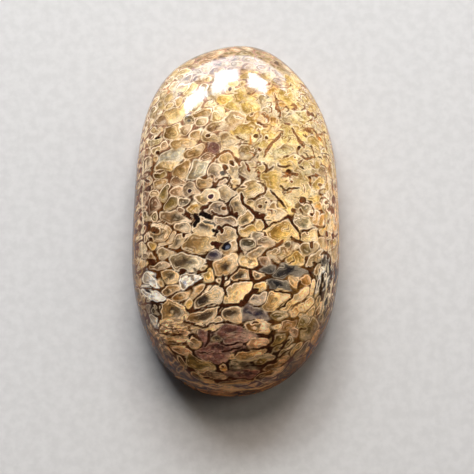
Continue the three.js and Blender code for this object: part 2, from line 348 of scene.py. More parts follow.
# The veins that are traced one by one: ink, half width, and the x and y of the points they run through.
VEINS = table("""
dark .12 -11.6 -3.5 -11.5 -4.8 -11.3 -6; .09 -4.1 -19.6 -2.3 -20.1 -.1 -20.05;
.1 -.6 -18.5 1.5 -18.7 3.5 -18.4 5.3 -17.3 6.6 -16.3; .1 5.3 -18.9 4.2 -19.6 3 -19.9;
.13 -10.8 -11.1 -9.6 -11.4 -8.7 -11.6 -7.8 -11.5; .2 .6 .5 .9 -.7 1.5 -1.4 2.3 -2.1;
.27 2.3 -2.1 2.6 -2.3 3.2 -2.2; .15 3.9 .8 4.6 .2 5.2 -.4 5.7 -1.1; .18 2.9 -2.4 3.2 -2.9 3.5 -3.5 3 -3.9;
.13 3.5 -3.5 4.4 -3 5.1 -2.6 5.4 -2.3; .18 5.4 -2.3 6 -2.2 6.3 -2.6 6.8 -3.3 7.2 -3.8;
.14 7.2 -3.8 7.8 -3.5 8.4 -3.4; .14 -.1 -3.4 .3 -4.5 .2 -5.3 .5 -6.1 .8 -6.8; .09 4.3 -7.5 4.8 -7.8 5.4 -8;
.12 0 -8.1 .9 -8.1 1.6 -8.4 2.5 -8.2 3 -8; .23 1.6 -8.4 1.7 -9.2 1.9 -9.7;
.11 -.5 -10.3 0 -9.8 .8 -9.6 1.9 -9.7 2.9 -9.6 3.8 -9.4; .16 8.2 -7.7 8.4 -8.4 8.7 -9;
.2 -1.4 -9 -1.5 -10 -1.7 -10.3; .13 -1.4 -10 -.9 -9.4 -.1 -8.7 .3 -8.3;
.13 -1.7 -10.2 -2.4 -9.9 -3.1 -10.1 -3.6 -10.8 -4.4 -11.4; .14 -1.5 -10.2 -1.2 -10.8 -1 -11.5;
.12 -2.7 -8.1 -3 -7.6 -3.3 -7.3; .13 -4.7 -8.2 -4.2 -8.6 -3.2 -8.6;
.13 -.9 -.7 -.4 -1.4 -.5 -2 -1.1 -2.2 -1.8 -2.2 -2.5 -1.9 -2.8 -1.6; .16 -5.7 -1.5 -5.4 -2 -5 -2.4;
.2 -1.95 -3.4 -1.7 -3.8 -1.5 -4.3; .11 -5.6 -5.8 -4.9 -6.1; .08 -3.9 -6.4 -3.1 -6.4;
.11 -8.7 -11.4 -8.4 -12 -8.5 -12.4;
.12 -6.5 -11.8 -5.8 -12.4 -5.3 -12.9 -4.8 -13 -4 -12.7 -3.2 -12.4 -2.4 -12.2 -1.9 -12.4;
.18 -1.9 -12.4 -1.2 -12.5 -.5 -12.3 .5 -12.3 1.1 -12.1; .27 1.1 -12.1 1.3 -11.6 1.8 -11 2.5 -10.6;
.13 -2.1 -13.4 -1.8 -12.8 -1.5 -12.4;
.13 -5.7 -13.3 -5.8 -13.9 -5.1 -14.2 -4.2 -14.5 -3.4 -14.7 -2.7 -14.4 -1.8 -14.3 -.9 -14.2 0 -14.4 1 -14.6;
.11 1.8 -14.3 2.7 -14.2; .12 3.6 -14.2 4.7 -14.1;
.13 3.8 -10.5 4.5 -10.8 5.6 -10.8 6.3 -10.9 6 -11.6 5.3 -12.3 4.5 -12.8;
.13 3.9 -14.9 4.2 -15.5 4 -16.2 3.4 -16.7 2.5 -17 1.3 -17; .13 6 -15.7 5.6 -16.2 4.9 -16.8;
.11 -5.4 -15.5 -4.9 -15.4 -4.3 -15.9; .12 -3.1 -15.3 -3.1 -16 -3.5 -16.8; .1 -8.4 -14.8 -7.1 -15.2 -6 -15.4;
.13 -1.7 -17.3 -.9 -17.3 -.1 -17 .9 -16.7; .11 -.2 -17.7 .5 -17.2 1.6 -17.2;
brown .15 -3 4 -2.4 4.6 -1.5 5.4 -.7 5.45 .2 4.3 .45 3.75; .06 -10.4 9.1 -9.4 8.8 -8.5 8.45;
.14 4.8 12.1 4.7 11.4 5.1 10.8 5.2 10.1; .17 5.3 8.4 4.9 7.6 4.3 7 3.9 6.3 3.4 5.5 3.2 4.9;
.15 6.3 12 6.8 12 7 11.6; .17 6.4 8.9 6.9 8 7.4 7.3 7.8 6.6; .15 7.5 5.5 8.1 5.2 8.8 5.5;
.15 7.1 4.5 7.6 4.9; .17 5.2 2.5 5.9 2.9 6.6 3.1 7.1 3.1; .1 7.6 -.5 8.1 -.2 8.7 -.5 8.8 -1.2 8.4 -1.6;
.12 8.6 7.2 8.9 6.4 9 5.4; .13 2.9 10.4 3.5 10 3.7 9.4;
umber .07 -10 9.1 -9.9 9.6 -9.4 9.75 -8.8 9.1 -8.7 8.6;
.08 -10 -2.7 -9.4 -2.3 -8.2 -2.6 -7.1 -3.4 -7.5 -4.4 -8.2 -4.8 -9.4 -4.7; .06 -9.4 -4.7 -10 -3.8 -10 -2.7;
.06 -7.4 -6.2 -7.7 -5.6 -8.3 -5.3 -8.9 -5.6 -9.2 -6.2 -8.9 -6.8 -8.3 -7.1; .05 -8.3 -7.1 -7.7 -6.8 -7.4 -6.2;
.12 -11 -9.3 -9.7 -9.75 -8.6 -10.1 -7.9 -10; .09 -11 -8.3 -10.4 -7.7 -9.4 -7.8 -8.4 -8.5;
.09 -8.6 -12.9 -8.9 -13.9 -8.7 -14.6; .11 0 7.4 .5 7.1 1.4 6.8;
.08 -.1 6.3 1.1 6.5 2.1 6 2.2 5.1 1.2 4.4 .2 4.6; .07 4.7 9.7 4.9 8.9; .15 4.7 4.2 5.1 3.8 5.8 3.9 6.3 4.1;
.15 7.2 4.3 7.8 3.9; .16 3.2 4.2 3.5 3.7 3.5 3.2 3.1 3; .14 5 1.6 5.5 1.1 6.3 1.3 7.3 1.5;
.13 2.4 1.8 2.9 1.6 3.4 1.2 3.3 .7 2.6 .2 2 -.2 1.4 -.2; .11 2.3 -2.4 1.9 -2.9 1.2 -3.4 .5 -3.7;
.14 7.2 -.9 7.6 -1.5; .07 6.3 -2.4 7.2 -2.1; .09 1.1 -6.6 1.8 -6.1 2.5 -5.8 2.9 -5.6;
.11 3.1 -6.7 3.7 -6.2 4.3 -5.8 4.8 -5.5 5.1 -5.1; .2 6.2 -4.5 6.7 -4.8 7.3 -5; .13 7.2 -3.8 7.2 -4.4;
.13 9.3 -3.1 9.4 -4; .11 6.4 -6.7 6.5 -7.2 6.1 -7.4; .18 7.2 -9.3 7.1 -10.1;
.13 -2.9 1.9 -2.2 1.6 -1.7 2.1 -1.1 2.3 -.7 1.8 -.4 1.1; .16 -4 -1.3 -3.4 -1.1 -2.8 -.6;
.1 6.1 -12.6 6.8 -12 7.6 -11.5 8.2 -11.1; .09 7.2 -14.5 7.9 -14.4;
.07 -8.4 -14.4 -7.1 -14.6 -6 -14.6 -4.9 -15; .07 -7.9 -15.7 -6.7 -16;
black .13 -5.2 -15.8 -4.9 -15.4 -4.35 -15.8; .27 -4.1 -1.85 -3.4 -2.1 -2.8 -2.5;
.25 -4.7 -1.9 -4.4 -2.3 -4.25 -2.7 -4.5 -2.95 -4.75 -3.3; .16 -2.75 -3.8 -2.35 -4 -2 -4.2;
bone .06 -9.2 -2.85 -8.3 -3.05 -7.7 -3.5 -8 -4.2; .05 -8.6 -14 -7.4 -14.1 -6.2 -14.1 -4.9 -14.5;
.05 -8.3 -15.1 -7 -15.4 -5.8 -15.6 -4.6 -15.7; .04 -7.8 -16.1 -6.6 -16.4 -5.4 -16.4;
rust .1 2.4 9.3 3 8.9 3.7 8.7; .14 1 4.2 1.4 3.6 1.5 3; .09 4.6 -7 5.4 -7.5;
tawny .09 2.5 8.4 2.7 7.9 2.9 7.4; .14 7.7 8.7 8.5 9.3 9.2 9 9.4 8.1; .07 9 5.3 9 4.3; .07 9.1 6.8 9.4 6.5;
.05 -1.5 -15.8 -.6 -15.9 .5 -15.8 1.3 -16; slate .15 -3.7 -2.85 -2.9 -3.05 -2.2 -3.3;
maroon .08 -8.3 -15.9 -7 -16.2 -5.6 -16.2 -4.8 -16.4; .12 -1.9 -16.3 -1.1 -16.6 -.2 -16.5 .6 -16.4;
.06 -1.6 -15.2 -.6 -15.4 .5 -15.3 1.4 -15.6; .07 -4.4 -17.2 -3.4 -17.4 -2.4 -17.3
""")

# The pale lines of the near end, which lie over everything, given as the veins are.
PALE_LINES = table("""
ember .12 -6.9 -19 -4.6 -20.1 -2.3 -20.75 .3 -20.9 2.6 -20.6 4.4 -19.9;
.09 -3.9 -19.95 -1.7 -20.4 .6 -20.3 2.1 -20; .09 3 -19.7 4.3 -19.3 5.3 -18.6;
.07 -6.7 -18.5 -6.3 -18.25 -5.9 -18.5 -6 -18.85 -6.5 -18.9 -6.7 -18.5; .07 -7.6 -17.6 -7.1 -17.9 -6.6 -17.7;
bone .09 -.5 -17.35 .1 -18.1 1.5 -18.15 3 -17.8 4.1 -17.2
""")

# Specks and pores: ink, x, y, length, width and turn.
SPECKS = table("""
ink -1 -5.85 1.15 .95 20; maroon -3.5 -1.2 1 .5 10; -2.2 -5.6 .9 .7 -20; -2.6 -5.5 .6 .5 0;
plum -2.9 .1 .7 .6 20; -5.3 .9 .5 .5 -5; black -1.6 -.5 .7 .2 0; -9.3 -3.35 .9 .4 -20; -9.3 -8.4 1 .2 -30;
-9 8.1 1 .45 -5; 3.7 -2.8 .6 .2 -10; -10 -10 1.4 .3 -15; 1.1 -17.1 1 .2 10; umber -1.4 -1.3 .6 .5 0;
-9.2 -3.2 1.4 .8 -25; -9.6 4.5 .8 .4 -20; -10.1 .4 .5 .6 -20; -.4 4.1 .9 .5 -50; -1.2 3.5 .8 .4 -30;
-3.6 2.4 .7 .4 -5; -2.7 2.6 .5 .3 -35; -3.2 7.5 .5 .5 -5; 2.3 7.4 .55 .5 35; 2.5 9.1 .5 .3 5;
3.5 7.3 .4 .4 5; 5 10.2 .3 .4 5; 5.8 5.2 .6 .3 25; 6.8 5.1 .3 .3 10; 7.7 .1 .8 .8 10; .7 1.2 .7 .3 10;
6.4 -1.4 .5 .4 -25; 8.5 .1 .7 .3 -5; 2.7 -1.1 .6 .5 0; 8.6 -5.1 .5 .8 0; 10.5 -5.9 .7 .4 50; 8 -6.8 .4 .7 0;
10 -2.6 .7 .3 35; 8.9 11.3 .6 .6 45; -10.45 11.5 .9 .3 20; -10.9 8.6 .9 .45 15; -11.15 6 1.1 .45 -15;
-11.3 3.7 1.1 .45 0; -11.4 .9 1.1 .5 5; -11.4 -2.6 1.1 .5 0; dark -9.6 -4.2 .8 .3 -35; -5.9 -4.3 .4 .5 -5;
-5.9 -8.4 .8 .6 -5; -9.5 -6.8 .7 1.3 55; -10.9 -7.5 1.1 .4 5; -10.2 3.2 1.3 .4 -20; -9.9 2.1 .5 .5 -20;
-10.8 2.5 .4 .5 -25; -10.8 -1.3 .8 .4 -50; .2 1.3 .5 .2 0; -9 6.3 .8 .5 -15; -10.6 6.8 .5 .5 -30;
7.2 6.5 .5 .7 -25; 6 3.4 .7 .5 15; 8.4 3 .5 .5 10; 8.6 -1.4 .4 .5 40; 3.5 -.6 .3 .4 5; 8.8 -7.1 .6 .3 10;
.6 -12.3 .9 .7 60; 0 -2.1 .4 .7 0; -10.75 10 1 .35 -10; -11 7.3 1 .35 0; -11.05 4.9 .9 .5 10;
-11 2.1 .9 .4 -10; -11.1 -.4 .8 .4 10; -11.3 -4.6 1 .5 -10; slate -1.5 2.9 .7 .4 -20; -5.4 9.6 .5 .35 -30;
brown 8.4 11.3 .8 .7 45; 8.3 8.8 .9 .5 15; 11.2 1.3 1.2 .9 40; 9.8 -5.8 .8 .3 30; 10.6 -.1 .6 .3 20;
9.6 2.4 .6 .4 15; 9.2 3.4 .3 .6 15; 10.3 .5 .7 .4 20; orange 9.7 8.2 .8 .5 -30; rust 6.3 2.1 .4 .4 5;
7.4 -.1 .4 .6 10; 5.1 -5.1 .7 .3 30; 10.3 -3.3 .5 .8 20; 11.1 -3.2 .7 .6 25; -1.5 -18.8 .3 .4 0
""")

# Pale dots that lie over everything else, given as the specks are. The steel dot is the middle of the dark
# eye.
# The bone dots away from the left edge are painted highlights, small glints on the polish; the rest are pale
# dots along the left edge.
HIGHLIGHTS_AND_PALE_DOTS = table("""
steel -.97 -5.88 .5 .42 30; bone -7.2 -12.7 .3 .3 0; -2.2 -13.9 .35 .25 0; -8.5 -15.9 .35 .35 0;
-5.6 -17.6 .3 .25 0; 8.3 -11 .25 .25 0; -8.65 -6.35 .35 .35 0; .7 -19.3 .25 .2 0; -10.35 12.1 .4 .5 0;
-9.6 10.6 .5 .4 0; -10.7 10.4 .35 .5 0; -10.8 9.3 .35 .5 0; -10.55 7.6 .35 .45 0; -10.6 6.9 .35 .5 0;
-10.9 1.6 .35 .6 0; -11.1 -1.6 .35 .6 0; -10.8 -6.2 .35 .5 0; -10.6 12 .8 .3 0; -10.9 9.5 .8 .3 10;
-11 8 .8 .3 -10; -11.1 5.45 .8 .35 0; -11.2 4.2 .9 .3 10; -11.15 2.8 .8 .3 0; -11.3 .2 .9 .3 0;
-11.3 -3.4 .9 .35 0
""")

# Ordinary cells are thrown this many times, and kept where they leave this much room to each other and to the
# traced ones.
CELL_TRIES = 14000
CELL_ROOM = 0.84
TRACED_ROOM = 1.12

# Short veins are scattered through the golden zones in these inks.
STRAY_VEINS = 170
STRAY_INKS = ["umber", "rust", "brown", "tawny", "umber", "orange", "rust"]

FAR = 9.0  # a distance that counts as out of reach of a vein or speck
JOIN = 0.04  # how softly the veins and specks join the web


# ---- The bone's cells: how they are laid out ----


def share_out(points):
    """How far out each point lies, from 0 at the middle to about 1 at the girdle."""
    return np.hypot(points[:, 0] / (WIDTH / 2), points[:, 1] / (LENGTH / 2))


def turned(angle):
    """A direction without a sense, so that two of them can be averaged: twice its angle, as a vector."""
    return np.stack([np.cos(2 * angle), np.sin(2 * angle)], axis=-1)


def column(name):
    """One column of the zones' table."""
    return np.array([zone[name] for zone in ZONES])


def zone_shares(points):
    """How much of each zone there is at each point."""
    places = np.stack([column("x"), column("y")], axis=1)
    gap = np.linalg.norm(points[:, None, :2] - places, axis=2) / column("reach")
    weight = np.exp(-0.5 * gap ** 2) + 1e-7 / (1 + gap ** 2)
    weight = weight ** 2
    return weight / weight.sum(axis=1, keepdims=True)


def zone_value(shares, name):
    """One of the zones' columns, blended by the zones' shares."""
    return shares @ column(name)


def tone_value(points, shares):
    """How light the stone's paints are: the zones' tone, with painted shade darkening it towards the rim at
    the +Y end.
    """
    far_rim_shade = ease(0.70, 0.95, share_out(points)) * ease(6.0, 12.0, points[:, 1])
    return zone_value(shares, "tone") * (1 - 0.38 * far_rim_shade)


def cell_frames(normals, turn, long, short):
    """For each cell, the three rows that turn an offset from its middle into shares of its half lengths."""
    along = np.stack([np.cos(turn), np.sin(turn), np.zeros_like(turn)], axis=1)
    along -= (along * normals).sum(axis=1, keepdims=True) * normals
    along /= np.linalg.norm(along, axis=1, keepdims=True)
    side = np.cross(normals, along)
    return np.stack([along / long[:, None], side / short[:, None], normals / short[:, None]], axis=1)


def ordinary_cells(points, seed):
    """The turn and half lengths that a cell has at each point, with their natural scatter."""
    draw = np.random.default_rng(seed)
    shares = zone_shares(points)
    lie = shares @ turned(np.radians(column("turn")))
    turn = np.arctan2(lie[:, 1], lie[:, 0]) / 2
    # Round the near end the cells follow the rim, and along the left side they lie level and are smaller.
    round_rim = np.arctan2(points[:, 0] / WIDTH ** 2, -points[:, 1] / LENGTH ** 2)
    follow = (ease(0.78, 1.0, share_out(points)) * ease(-8.0, -15.0, points[:, 1]))[:, None]
    lie = turned(turn) * (1 - follow) + turned(round_rim) * follow
    left = ease(-8.8, -10.4, points[:, 0]) * ease(-11.0, -8.5, points[:, 1])
    lie = lie * (1 - left[:, None]) + np.array([1.0, 0.0]) * left[:, None]
    scatter = 0.30 * (1 - 0.7 * zone_value(shares, "streak"))
    turn = np.arctan2(lie[:, 1], lie[:, 0]) / 2 + draw.normal(0, 1, len(points)) * scatter
    size = np.exp(draw.normal(0, 0.22, len(points)))
    long = zone_value(shares, "long") * size * np.exp(draw.normal(0, 0.14, len(points))) * (1 - 0.1 * left)
    short = zone_value(shares, "short") * size * (1 - 0.3 * left)
    return turn, long, short


def choose_fillings(shares, seed):
    """A filling for each cell, drawn from the fillings of one of the zones it lies in."""
    draw = np.random.default_rng(seed)
    chosen = []
    for row in shares:
        kinds = ZONES[draw.choice(len(ZONES), p=row / row.sum())]["fillings"]
        chosen.append(kinds[draw.integers(len(kinds))])
    return chosen


def on_dome(places, points, top):
    """The surface point over each x, y place of the dome."""
    return top[np.argmin(((points[None, top, :2] - np.asarray(places)[:, None]) ** 2).sum(axis=2), axis=1)]


def placed_cells(rows, points, top):
    """The cells or specks of a table: the surface point nearest to each, its turn and its half lengths."""
    values = np.array([row[1:6] for row in rows])
    nearest = on_dome(values[:, :2], points, top)
    return nearest, np.radians(values[:, 4]), values[:, 2] / 2, values[:, 3] / 2


def scatter_cells(points, normals, top, seed):
    """All the stone's cells. The landmarks come first, and ordinary cells are then thrown at random and kept
    where they leave room for the ones already there."""
    nearest, turn, long, short = placed_cells(LANDMARKS, points, top)
    traced = count = len(nearest)
    middles = np.zeros((traced + CELL_TRIES, 3))
    frames = np.zeros((traced + CELL_TRIES, 3, 3))
    middles[:traced] = points[nearest]
    frames[:traced] = cell_frames(normals[nearest], turn, long, short)
    room = np.where(np.arange(traced + CELL_TRIES) < traced, TRACED_ROOM, CELL_ROOM)
    tries = np.random.default_rng(seed).permutation(len(points))[:CELL_TRIES]
    own = cell_frames(normals[tries], *ordinary_cells(points[tries], seed + 1))
    for number, trial in enumerate(tries):
        offset = points[trial] - middles[:count]
        theirs = np.linalg.norm(np.einsum("nij,nj->ni", frames[:count], offset), axis=1)
        mine = np.linalg.norm(offset @ own[number].T, axis=1)
        if (mine * theirs > room[:count] * (mine + theirs)).all():
            middles[count], frames[count] = points[trial], own[number]
            count += 1
    return middles[:count], frames[:count]


def near_cells(points, middles, frames, most):
    """For each point, its nearest cells and how far it is from each, in that cell's half lengths."""
    start = np.einsum("nij,nj->ni", frames, middles)
    chosen, reach = [], []
    for part in np.array_split(points, max(1, len(points) // 6000)):
        square = sum((part @ frames[:, row].T - start[:, row]) ** 2 for row in range(3))
        order = np.argpartition(square, most, axis=1)[:, :most]
        near = np.take_along_axis(square, order, axis=1)
        rank = np.argsort(near, axis=1)
        chosen.append(np.take_along_axis(order, rank, axis=1))
        reach.append(np.sqrt(np.take_along_axis(near, rank, axis=1)))
    return np.concatenate(chosen), np.concatenate(reach)


def pair_chance(a, b, count):
    """A fixed random number from 0 to 1 for each pair of cells."""
    mixed = np.sin((np.minimum(a, b) * count + np.maximum(a, b)) * 12.9898) * 43758.5453
    return mixed - np.floor(mixed)


def smooth_path(places):
    """More points along a smooth curve through the given ones."""
    knots = np.array([places[0], *places, places[-1]], dtype=float)
    curve = []
    for a, b, c, d in zip(knots, knots[1:], knots[2:], knots[3:]):
        for t in np.linspace(0, 1, 4, endpoint=False):
            curve.append(0.5 * (2 * b + (c - a) * t + (2 * a - 5 * b + 4 * c - d) * t ** 2
                                + (3 * b - a - 3 * c + d) * t ** 3))
    return np.array([*curve, knots[-1]])


def stray_veins(points, normals, top, seed):
    """Short curled veins scattered through the golden zones, as more rows for the table of traced ones."""
    draw = np.random.default_rng(seed)
    golden = np.clip(zone_value(zone_shares(points[top]), "veil") - 0.12, 0, None) * (normals[top, 2] > 0.25)
    veins = []
    for start in points[draw.choice(top, STRAY_VEINS, p=golden / golden.sum())]:
        heading = draw.normal(1.5 * ease(8.0, 10.5, start[0]), 0.7)
        bend = draw.normal(0, 0.9)
        step = draw.uniform(0.15, 0.40)
        path = [start[:2]]
        for _ in range(4):
            path.append(path[-1] + step * np.array([math.cos(heading), math.sin(heading)]))
            heading += bend
        ink = STRAY_INKS[draw.integers(len(STRAY_INKS))]
        veins.append((ink, draw.uniform(0.04, 0.09), *np.ravel(path)))
    return veins


def vein_fields(veins, points, wavy, top):
    """How far each point is outside the nearest vein, and that vein's ink."""
    gap = np.full(len(points), FAR)
    ink = np.zeros((len(points), 3))
    for colour, half_width, *places in veins:
        path = points[on_dome(smooth_path(np.reshape(places, (-1, 2))), points, top)]
        low, high = path.min(axis=0) - 1.2, path.max(axis=0) + 1.2
        near = np.flatnonzero(((points > low) & (points < high)).all(axis=1))
        steps = len(path) - 1
        for number in range(steps):
            start, run = path[number], path[number + 1] - path[number]
            along = np.clip((wavy[near] - start) @ run / max(run @ run, 1e-9), 0, 1)
            place = (number + along) / steps
            taper = np.minimum(1, 0.45 + 3.0 * np.minimum(place, 1 - place))
            away = np.linalg.norm(wavy[near] - start - along[:, None] * run, axis=1) - half_width * taper
            closer = away < gap[near]
            gap[near[closer]] = away[closer]
            ink[near[closer]] = INKS[colour]
    return gap, ink


def speck_fields(specks, points, normals, wavy, top):
    """How far each point is outside the nearest speck, and that speck's ink."""
    nearest, turn, long, short = placed_cells(specks, points, top)
    frames = cell_frames(normals[nearest], turn, long, short)
    near, reach = near_cells(wavy, points[nearest], frames, 1)
    near, reach = near[:, 0], reach[:, 0]
    inks = np.array([INKS[row[0]] for row in specks])
    return np.minimum((reach - 1) * short[near], FAR), inks[near]


def soft_lower(a, b, roundness):
    """The lower of two distances, with the corner between them rounded."""
    return -roundness * np.logaddexp(-a / roundness, -b / roundness)


def cell_fields(points, normals, top):
    """The cell pattern at each point of the surface, as the values that the material reads."""
    middles, frames = scatter_cells(points, normals, top, seed=7)
    count, traced = len(middles), len(LANDMARKS)
    wavy = (points + 0.15 * ripple_vector(points, wavelength=1.9, seed=100)
            + 0.03 * ripple_vector(points, wavelength=0.8, seed=200))
    near, reach = near_cells(wavy, middles, frames, most=7)
    first = near[:, 0]
    offset = wavy[:, None] - middles[near]
    local = np.einsum("pnij,pnj->pni", frames[near], offset)
    slope = np.linalg.norm(np.einsum("pnij,pni->pnj", frames[near], local), axis=2) / np.maximum(reach, 1e-4)
    to_wall = (reach[:, 1:] - reach[:, :1]) / (slope[:, 1:] + slope[:, :1])

    cell_shares = zone_shares(middles)
    fillings = [row[0] for row in LANDMARKS] + choose_fillings(cell_shares[traced:], seed=9)
    kinds = np.array([FUSING.index(kind) if kind in FUSING else -1 for kind in fillings])
    fused = (kinds[near[:, :1]] == kinds[near[:, 1:]]) & (kinds[near[:, :1]] >= 0)

    # How far each point is from the wall between its cell and the next, less half the web's width.
    shares = zone_shares(points)
    chance = pair_chance(near[:, 1:], near[:, :1], count)
    swell = ripple(points, wavelength=1.3, seed=300)[:, None]
    web = zone_value(shares, "web")[:, None] * (0.4 + 1.2 * chance)
    web = web + zone_value(shares, "break_up")[:, None] * (1.1 * (chance - 0.5) + 0.6 * swell) - 0.4 * fused
    roundness = 0.12 / slope[:, :1]
    wall = -roundness * np.log(np.exp(-np.maximum(to_wall - web, -1) / roundness).sum(axis=1, keepdims=True))
    wall = wall[:, 0]

    # Veins and specks join the web, each in its own ink.
    slight = points + 0.05 * ripple_vector(points, wavelength=0.9, seed=400)
    web_paint = zone_value(shares, "web_paint")
    veins = VEINS + stray_veins(points, normals, top, seed=21)
    for gap, ink in [vein_fields(veins, points, slight, top),
                     speck_fields(SPECKS, points, normals, slight, top)]:
        take = 1 / (1 + np.exp(np.clip((gap - wall) / JOIN, -30, 30)))[:, None]
        web_paint = web_paint * (1 - take) + ink * take
        wall = soft_lower(wall, gap, JOIN)

    # The pale dots, some of them painted highlights on the polish, and the pale lines of the near end lie
    # over everything, free of the painted shade.
    outside_highlight_and_pale_mark, highlight_and_pale_mark_paint = speck_fields(HIGHLIGHTS_AND_PALE_DOTS, points, normals, slight, top)
    outside_line, line_paint = vein_fields(PALE_LINES, points, slight, top)
    highlight_and_pale_mark_paint = np.where((outside_line < outside_highlight_and_pale_mark)[:, None], line_paint, highlight_and_pale_mark_paint)
    outside_highlight_and_pale_mark = np.minimum(outside_highlight_and_pale_mark, outside_line)

    # Each cell's own paints, rim and core. The traced cells vary less.
    draw = np.random.default_rng(12)
    steady = np.where(np.arange(count) < traced, 0.5, 1.0)[:, None]
    light = np.exp(draw.normal(0, 0.20, (count, 1)) * steady) * tone_value(middles, cell_shares)[:, None]
    for number, kind in enumerate(fillings):
        light[number] = FIXED_LIGHT.get(kind, light[number])
    body, core = (np.array([FILLINGS[kind][part] for kind in fillings]) * light for part in (0, 1))
    core *= np.exp(draw.normal(0, 0.2, (count, 1)) * steady)
    core[traced:] += 0.15 * (body[traced:] - core[traced:])
    soft = np.array([kind in SOFT_EDGED for kind in fillings])
    rim = zone_value(cell_shares, "rim") * draw.uniform(0.5, 1.2, count) * np.where(soft, 0.4, 1.0)
    bands = np.where(soft, 0.3, 1.0) * draw.uniform(0.6, 1.25, count)
    # The ordinary cells' dark cores lean on average towards the end of the long side where the body is
    # painted darker, adding to that painted shade.
    lean = draw.normal(0, 0.24, (count, 3)) - (0.2, 0, 0)
    core_size = draw.uniform(-0.4, 0.7, count)
    cores = [row[6:] or (0, 0) for row in LANDMARKS]
    lean[:traced] = [(along, 0, 0) for along, _ in cores]
    core_size[:traced] = [1.4 * size for _, size in cores]
    to_core = (np.linalg.norm(local[:, 0] - lean[first], axis=1) - core_size[first]) / slope[:, 0]

    # One side of a cell is shaded and the other lit.
    face = np.radians(135) + draw.normal(0, 0.8, count)
    shade = np.stack([np.cos(face), np.sin(face), np.zeros(count)], axis=1)[first]
    shade = (offset[:, 0] * shade).sum(axis=1) * slope[:, 0]
    upward = offset[:, 0, 1] / np.maximum(np.linalg.norm(offset[:, 0], axis=1), 1e-3)

    # Where the golden haze lies, the cells melt into each other.
    veil = zone_value(shares, "veil") * np.where(soft[first], 0.15, 1.0)
    blend = np.exp(-(reach ** 2 - reach[:, :1] ** 2) / (0.08 + 0.5 * veil)[:, None])
    blend = (blend / blend.sum(axis=1, keepdims=True))[:, :, None]

    def blended(values):
        """The cells' own values, blended over the cells near each point."""
        return (values[near] * blend).sum(axis=1)

    fixed = np.array([kind in FIXED_LIGHT for kind in fillings])
    x, y, z = points.T
    # Painted shade: these masks darken the low flank of the near end and the low left side in the material.
    near_end_shade = ease(6.4, 3.2, z) * ease(-9.0, -15.0, y) * (1 - 0.4 * ease(7.0, 3.5, np.abs(x)))
    left_side_shade = 0.8 * ease(-10.7, -11.6, x) * ease(9.0, 3.0, y)
    return {
        "wall": wall,
        "to_core": to_core,
        "chance": draw.uniform(0, 1, count)[first],
        # Each cell's pale rim is painted stronger on its +Y side and weaker on its -Y side: painted light
        # from +Y.
        "rim": blended(rim[:, None])[:, 0] * (0.85 + 0.5 * upward),
        "veil": veil,
        "bands": blended(bands[:, None])[:, 0] * np.clip(1 - 1.1 * veil, 0.3, 1),
        # How low on the side walls a point lies. The material darkens the colour there as painted shade, and
        # turns the web orange-brown.
        "edge": ease(6.6, 2.2, z),
        "painted_low_shade": np.maximum(near_end_shade, left_side_shade),
        "frayed": ease(8.4, 9.8, x) * ease(-5.0, -6.8, y) * ease(-14.5, -12.5, y),
        "shade": shade,
        # The body is painted lighter towards one end of the cell's long side and darker towards the other:
        # painted highlight and painted shade.
        "body": blended(body) * (1 + 0.22 * np.clip(local[:, 0, :1], -1, 1)),
        "core": blended(core),
        "web": web_paint,
        "highlight_and_pale_mark": ease(0.06, -0.06, outside_highlight_and_pale_mark),
        "highlight_and_pale_mark_paint": highlight_and_pale_mark_paint,
        "warm": zone_value(shares, "warm") * np.where(fixed[first], 0.2, 1.0),
        "streak": zone_value(shares, "streak"),
        "glow": zone_value(shares, "glow"),
        "flank": ease(9.2, 10.6, np.abs(x)) * ease(-8.0, -5.0, y) * ease(14.0, 9.0, y),
        "rim_paint": RIM_PAINT * tone_value(points, shares)[:, None] ** 0.5,
    }


# ---- The stone as a Blender object ----


def add(name, data):
    """A new object in the scene."""
    made = bpy.data.objects.new(name, data)
    bpy.context.scene.collection.objects.link(made)
    return made


def make_stone():
    """The stone's surface as an object, with the cell pattern stored at its points."""
    points, quads, base = stone_mesh()
    mesh = bpy.data.meshes.new("stone_surface")
    mesh.from_pydata((points * MM).tolist(), [], quads.tolist() + base.tolist())
    mesh.polygons.foreach_set("use_smooth", np.ones(len(mesh.polygons), dtype=bool))
    mesh.update()
    normals = np.zeros(len(points) * 3, dtype=np.float32)
    mesh.vertex_normals.foreach_get("vector", normals)
    normals = normals.reshape(-1, 3).astype(float)
    top = np.flatnonzero(points[:, 2] > GIRDLE_HEIGHT)
    for name, values in cell_fields(points, normals, top).items():
        if values.ndim == 1:
            mesh.attributes.new(name, "FLOAT", "POINT").data.foreach_set("value", values)
        else:
            colour = np.concatenate([values, np.ones((len(values), 1))], axis=1)
            mesh.attributes.new(name, "FLOAT_COLOR", "POINT").data.foreach_set("color", colour.ravel())
    return add("polished_stone", mesh)


# ---- Materials ----

POLISH_IOR = 1.42
BUMP_STRENGTH = 0.5
BUMP_HEIGHT = 0.02 * MM
FLOOR_ROUGHNESS = 0.9
FLOOR_SPECKLE = 900.0  # the scale of its noise, for each metre


